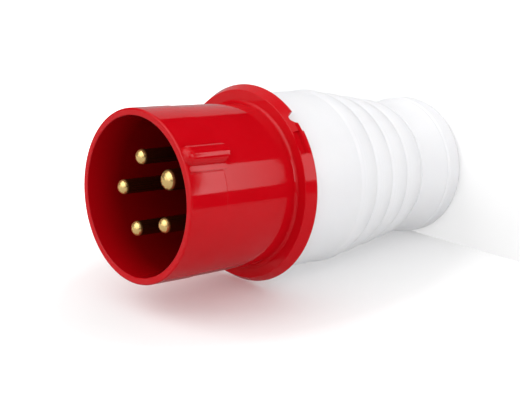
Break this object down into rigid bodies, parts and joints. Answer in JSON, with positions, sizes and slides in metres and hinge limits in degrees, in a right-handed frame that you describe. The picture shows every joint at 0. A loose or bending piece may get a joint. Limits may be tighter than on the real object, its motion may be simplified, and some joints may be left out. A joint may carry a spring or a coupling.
{
  "type": "industrial pin and sleeve plug",
  "caption": "Round industrial power plug: red sleeve with a key and flange around brass pins, and a white ringed housing that ends in a cable gland nut.",
  "frame": {"origin": "on the plug's axis, in the plane of the gland nut's rear face that it stands on", "axes": "+Z along the plug's axis towards the pins; -Y towards the earth pin and the sleeve's key; +X completes the right-handed frame"},
  "size_m": [0.0686, 0.0686, 0.1354],
  "materials": {
    "red_plastic": "glossy moulded nylon",
    "white_plastic": "satin moulded nylon",
    "grey_plastic": "matte moulded nylon",
    "black_rubber": "matte rubber",
    "brass": "turned and polished",
    "zinc_steel": "zinc plated"
  },
  "bodies": {
    "housing": {"housing": "white_plastic", "gland_seal": "black_rubber"},
    "front": {"sleeve": "red_plastic", "front_gasket": "black_rubber", "terminal_carrier": "grey_plastic", "carrier_screws": "zinc_steel", "pin_l1": "brass", "pin_l2": "brass", "pin_l3": "brass", "pin_neutral": "brass", "pin_earth": "brass", "terminal_screw_l1_1": "zinc_steel", "terminal_screw_l1_2": "zinc_steel", "terminal_screw_l2_1": "zinc_steel", "terminal_screw_l2_2": "zinc_steel", "terminal_screw_l3_1": "zinc_steel", "terminal_screw_l3_2": "zinc_steel", "terminal_screw_neutral_1": "zinc_steel", "terminal_screw_neutral_2": "zinc_steel", "terminal_screw_earth_1": "zinc_steel", "terminal_screw_earth_2": "zinc_steel"},
    "clamp": {"clamp_ring": "grey_plastic"},
    "nut": {"gland_nut": "white_plastic"}
  },
  "joints": [
    {"name": "front_release", "type": "hinge", "parent": "housing", "child": "front", "pos_m": [0, 0, 0.089], "axis": [0, 0, 1], "range_deg": [0, 30]},
    {"name": "gland_travel", "type": "slide", "parent": "housing", "child": "clamp", "axis": [0, 0, -1], "range_m": [0, 0.006]},
    {"name": "nut_turn", "type": "hinge", "parent": "clamp", "child": "nut", "pos_m": [0, 0, 0.0109], "axis": [0, 0, -1], "range_deg": [0, 720]}
  ],
  "couplings": [
    {"joint": "gland_travel", "follows": "nut_turn", "m_per_rad": 0.00047746}
  ]
}
